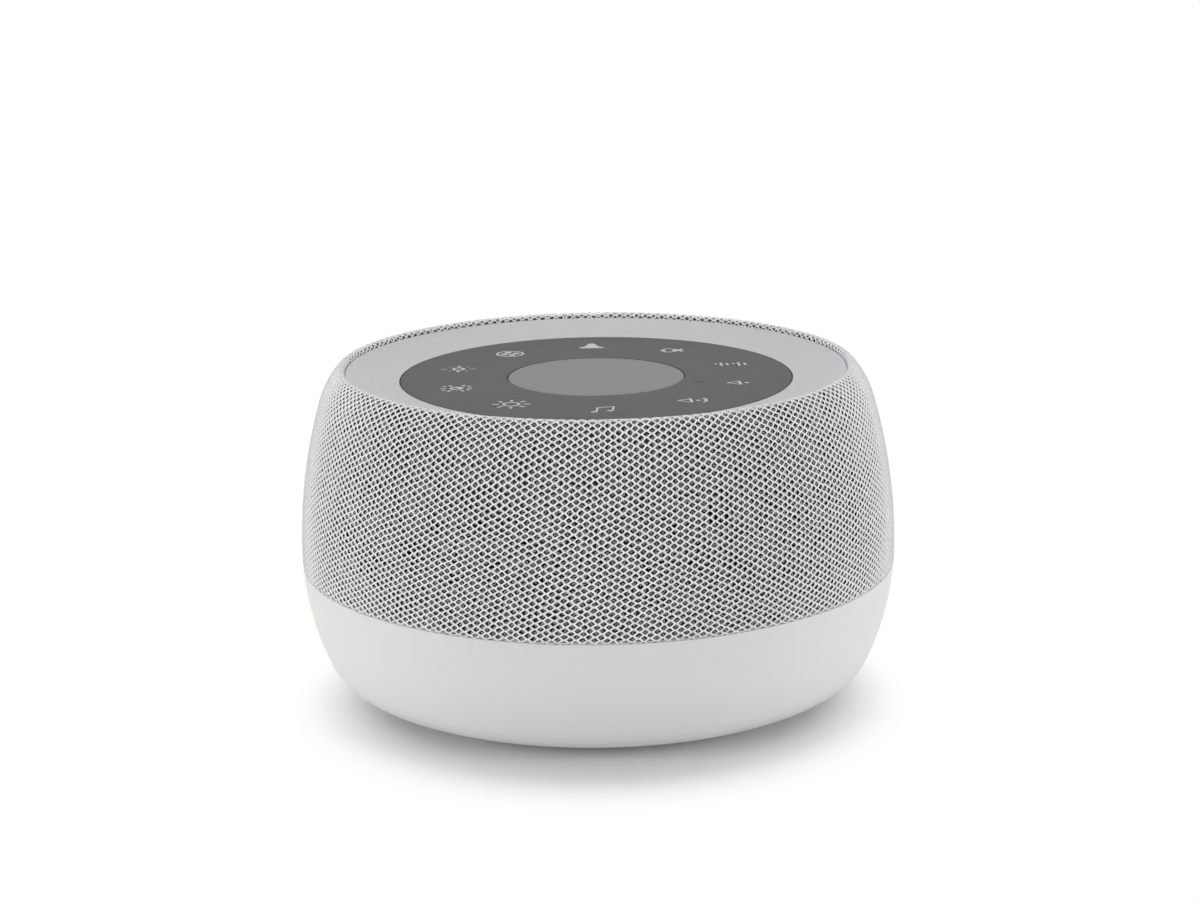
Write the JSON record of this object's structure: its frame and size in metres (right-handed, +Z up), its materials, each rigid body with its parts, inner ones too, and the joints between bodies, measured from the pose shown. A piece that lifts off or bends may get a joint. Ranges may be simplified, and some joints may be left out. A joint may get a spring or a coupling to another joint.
{
  "type": "white noise sound machine",
  "caption": "Squat round bedside sound machine: knitted cover over a slotted frame, white bowl, frosted light ring, flat touch panel and a round push key, with a loudspeaker inside.",
  "frame": {"origin": "on the table, under the middle of the body", "axes": "+Z up, the front is -Y, the power socket looks out along +Y"},
  "size_m": [0.11, 0.11, 0.0603],
  "materials": {
    "shell_white": "fine satin, moulded",
    "knit": "open knitted mesh, white yarn",
    "frame_dark": "moulded, matte",
    "foot_rubber": "matte",
    "panel_grey": "very fine matte",
    "key_grey": "very fine matte",
    "frosted": "frosted, lets light through",
    "window_dark": "polished",
    "inner_white": "moulded, matte",
    "board_green": "solder mask",
    "copper": "bare, thin",
    "lamp": "clear resin over phosphor",
    "tape": "adhesive film",
    "chip_black": "moulded",
    "can": "brushed",
    "plug_white": "moulded",
    "steel": "zinc plated",
    "magnet": "ground",
    "basket": "black, satin",
    "coil": "enamelled wire on a former",
    "paper": "pressed paper",
    "soft_rubber": "matte",
    "spider_cloth": "stiffened cloth",
    "wire": "insulated wire",
    "ribbon": "flat film"
  },
  "bodies": {
    "housing": {"base_shell": "shell_white", "foot_ring": "foot_rubber", "base_screws": "steel", "grille_frame": "frame_dark", "fabric_sleeve": "knit", "control_deck": "inner_white", "deck_screws": "steel", "light_ring": "frosted", "led_board": "board_green", "leds": "lamp", "touch_board": "board_green", "touch_pads": "copper", "touch_board_connector": "plug_white", "panel_tape": "tape", "touch_panel": "panel_grey", "indicator_lens": "window_dark", "switch_board": "board_green", "switch_body": "chip_black", "switch_dome": "steel", "switch_screws": "steel", "baffle_plate": "frame_dark", "speaker_gasket": "soft_rubber", "speaker_basket": "basket", "speaker_front_washer": "steel", "speaker_magnet": "magnet", "speaker_yoke": "steel", "speaker_surround": "soft_rubber", "speaker_spider": "spider_cloth", "speaker_screws": "steel", "speaker_terminals": "plug_white", "speaker_leads": "wire", "main_board": "board_green", "board_screws": "steel", "board_chips": "chip_black", "board_capacitors": "can", "ribbon_connector": "plug_white", "usb_socket": "steel", "usb_tongue": "chip_black", "ribbon_cable": "ribbon", "cable_grommets": "soft_rubber", "lamp_lead": "wire", "lead_plugs": "plug_white"},
    "key": {"centre_key": "key_grey", "switch_plunger": "plug_white"},
    "cone": {"speaker_cone": "paper", "speaker_dust_cap": "paper", "voice_coil": "coil"}
  },
  "joints": [
    {"name": "key_press", "type": "slide", "parent": "housing", "child": "key", "axis": [0, 0, -1], "range_m": [0, 0.0005], "stiffness_N_per_m": 2000, "deforming": ["switch_dome"]},
    {"name": "cone_drive", "type": "slide", "parent": "housing", "child": "cone", "axis": [0, 0, 1], "range_m": [-0.001, 0.001], "stiffness_N_per_m": 1200, "deforming": ["speaker_surround", "speaker_spider"]}
  ]
}
